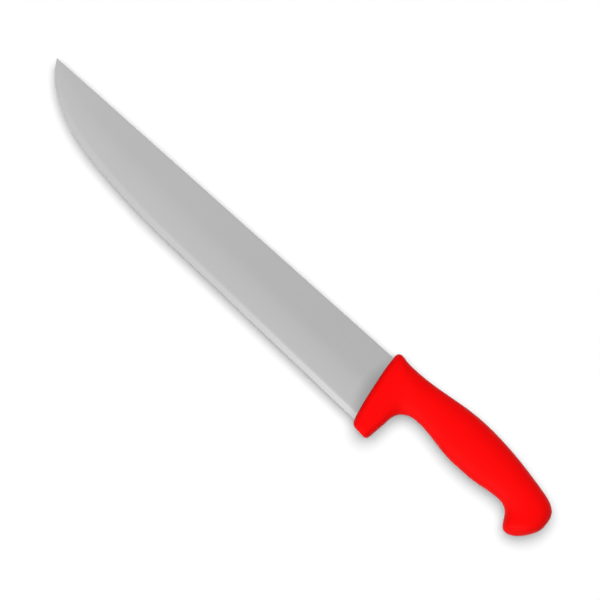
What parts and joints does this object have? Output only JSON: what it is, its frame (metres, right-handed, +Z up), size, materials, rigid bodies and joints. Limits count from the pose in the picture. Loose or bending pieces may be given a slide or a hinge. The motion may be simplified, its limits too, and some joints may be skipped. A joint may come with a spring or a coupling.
{
  "type": "steak knife",
  "caption": "Long butcher's steak knife: a straight-spined, taper-ground steel blade with a hidden tang in a red moulded handle with finger guard and beaked pommel.",
  "frame": {"origin": "middle of the underside of the knife's box, with the knife lying on its side", "axes": "+X from the point to the butt along the spine, +Y from the cutting edge to the spine, +Z up through the blade's thickness"},
  "size_m": [0.4502, 0.0606, 0.025],
  "materials": {
    "blade_steel": "satin-ground stainless steel, brighter along the edge bevel",
    "handle_plastic": "red moulded polypropylene with a fine spark-eroded matte surface"
  },
  "bodies": {
    "root": {"blade": "blade_steel", "handle": "handle_plastic"}
  },
  "joints": []
}
